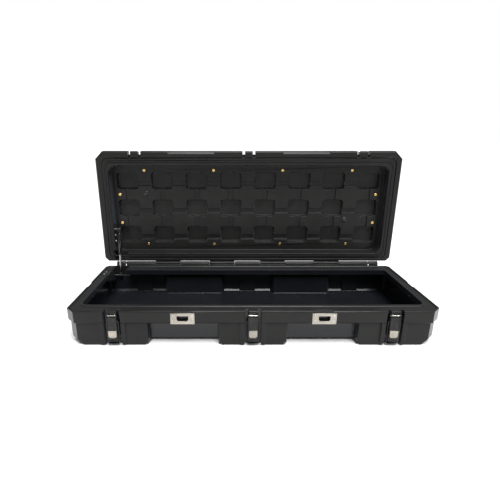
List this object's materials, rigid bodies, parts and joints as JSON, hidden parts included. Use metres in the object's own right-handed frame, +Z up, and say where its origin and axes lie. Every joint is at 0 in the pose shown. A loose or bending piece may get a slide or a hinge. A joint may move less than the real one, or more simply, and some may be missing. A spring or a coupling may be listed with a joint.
{
  "type": "equipment case",
  "caption": "Long low moulded equipment case: hinged ribbed lid on a gas strut, over-centre draw latches, lock plates, seam gasket and threaded lid inserts.",
  "frame": {"origin": "centre of the centre foot's underside, at mid-length and mid-depth of the base", "axes": "+X along the case to the right seen from the latches, +Y from the latches to the hinge, +Z up; stored with the lid open at a right angle"},
  "size_m": [1.411, 0.6098, 0.6915],
  "materials": {
    "black_plastic": "matte moulded polyethylene",
    "cap_plastic": "satin",
    "gasket_rubber": "matte",
    "hinge_black": "satin black",
    "pin_steel": "bright",
    "plate_steel": "bright zinc",
    "latch_black": "satin black",
    "bail_black": "black oxide",
    "bracket_black": "satin black",
    "strut_black": "satin black",
    "rod_chrome": "polished",
    "insert_brass": "machined"
  },
  "bodies": {
    "base": {"base_shell": "black_plastic", "hinge_knuckle_base_1": "hinge_black", "hinge_knuckle_base_2": "hinge_black", "hinge_knuckle_base_3": "hinge_black", "hinge_knuckle_base_4": "hinge_black", "hinge_knuckle_base_5": "hinge_black", "hinge_strip_1": "hinge_black", "hinge_strip_2": "hinge_black", "hinge_strip_3": "hinge_black", "hinge_strip_4": "hinge_black", "hinge_end_cover_1": "hinge_black", "hinge_end_cover_2": "hinge_black", "hinge_pin": "pin_steel", "latch_bracket_1": "plate_steel", "latch_bracket_2": "plate_steel", "latch_bracket_3": "plate_steel", "latch_pin_1": "pin_steel", "latch_pin_2": "pin_steel", "latch_pin_3": "pin_steel", "lock_plate_1": "plate_steel", "lock_plate_2": "plate_steel", "strut_base_bracket": "bracket_black"},
    "lid": {"lid_shell": "black_plastic", "lid_gasket": "gasket_rubber", "hinge_knuckle_lid_1": "hinge_black", "hinge_knuckle_lid_2": "hinge_black", "hinge_knuckle_lid_3": "hinge_black", "hinge_knuckle_lid_4": "hinge_black", "latch_catch_1": "plate_steel", "latch_catch_2": "plate_steel", "latch_catch_3": "plate_steel", "strut_lid_bracket": "bracket_black", "brass_insert_01": "insert_brass", "brass_insert_02": "insert_brass", "brass_insert_03": "insert_brass", "brass_insert_04": "insert_brass", "brass_insert_05": "insert_brass", "brass_insert_06": "insert_brass", "brass_insert_07": "insert_brass", "brass_insert_08": "insert_brass", "brass_insert_09": "insert_brass", "brass_insert_10": "insert_brass", "brass_insert_11": "insert_brass", "brass_insert_12": "insert_brass", "vent_dome_1": "cap_plastic", "vent_dome_2": "cap_plastic"},
    "lever_1": {"latch_lever_1": "latch_black", "latch_face_plate_1": "plate_steel"},
    "lever_2": {"latch_lever_2": "latch_black", "latch_face_plate_2": "plate_steel"},
    "lever_3": {"latch_lever_3": "latch_black", "latch_face_plate_3": "plate_steel"},
    "bail_1": {"latch_bail_1": "bail_black"},
    "bail_2": {"latch_bail_2": "bail_black"},
    "bail_3": {"latch_bail_3": "bail_black"},
    "strut_rod": {"strut_rod": "rod_chrome"},
    "strut_cylinder": {"strut_cylinder": "strut_black"}
  },
  "joints": [
    {"name": "lid_hinge", "type": "hinge", "parent": "base", "child": "lid", "pos_m": [0, 0.272, 0.154], "axis": [-1, 0, 0], "range_deg": [-90, 0]},
    {"name": "lever_pivot_1", "type": "hinge", "parent": "base", "child": "lever_1", "pos_m": [-0.525, -0.256, 0.124], "axis": [1, 0, 0], "range_deg": [-110, 0]},
    {"name": "lever_pivot_2", "type": "hinge", "parent": "base", "child": "lever_2", "pos_m": [0, -0.256, 0.124], "axis": [1, 0, 0], "range_deg": [-110, 0]},
    {"name": "lever_pivot_3", "type": "hinge", "parent": "base", "child": "lever_3", "pos_m": [0.525, -0.256, 0.124], "axis": [1, 0, 0], "range_deg": [-110, 0]},
    {"name": "bail_pivot_1", "type": "hinge", "parent": "lever_1", "child": "bail_1", "pos_m": [-0.525, -0.254, 0.099], "axis": [-1, 0, 0], "range_deg": [0, 178]},
    {"name": "bail_pivot_2", "type": "hinge", "parent": "lever_2", "child": "bail_2", "pos_m": [0, -0.254, 0.099], "axis": [-1, 0, 0], "range_deg": [0, 178]},
    {"name": "bail_pivot_3", "type": "hinge", "parent": "lever_3", "child": "bail_3", "pos_m": [0.525, -0.254, 0.099], "axis": [-1, 0, 0], "range_deg": [0, 178]},
    {"name": "strut_swing", "type": "hinge", "parent": "base", "child": "strut_rod", "pos_m": [-0.6248, 0.235, 0.1015], "axis": [-1, 0, 0], "range_deg": [-77.6, 0]},
    {"name": "strut_stroke", "type": "slide", "parent": "strut_rod", "child": "strut_cylinder", "axis": [0, 0.1771, 0.9842], "range_m": [-0.0821, 0]}
  ],
  "couplings": [
    {"joint": "strut_swing", "follows": "lid_hinge", "ratio": 0.8616},
    {"joint": "strut_stroke", "follows": "lid_hinge", "m_per_rad": 0.05218}
  ]
}
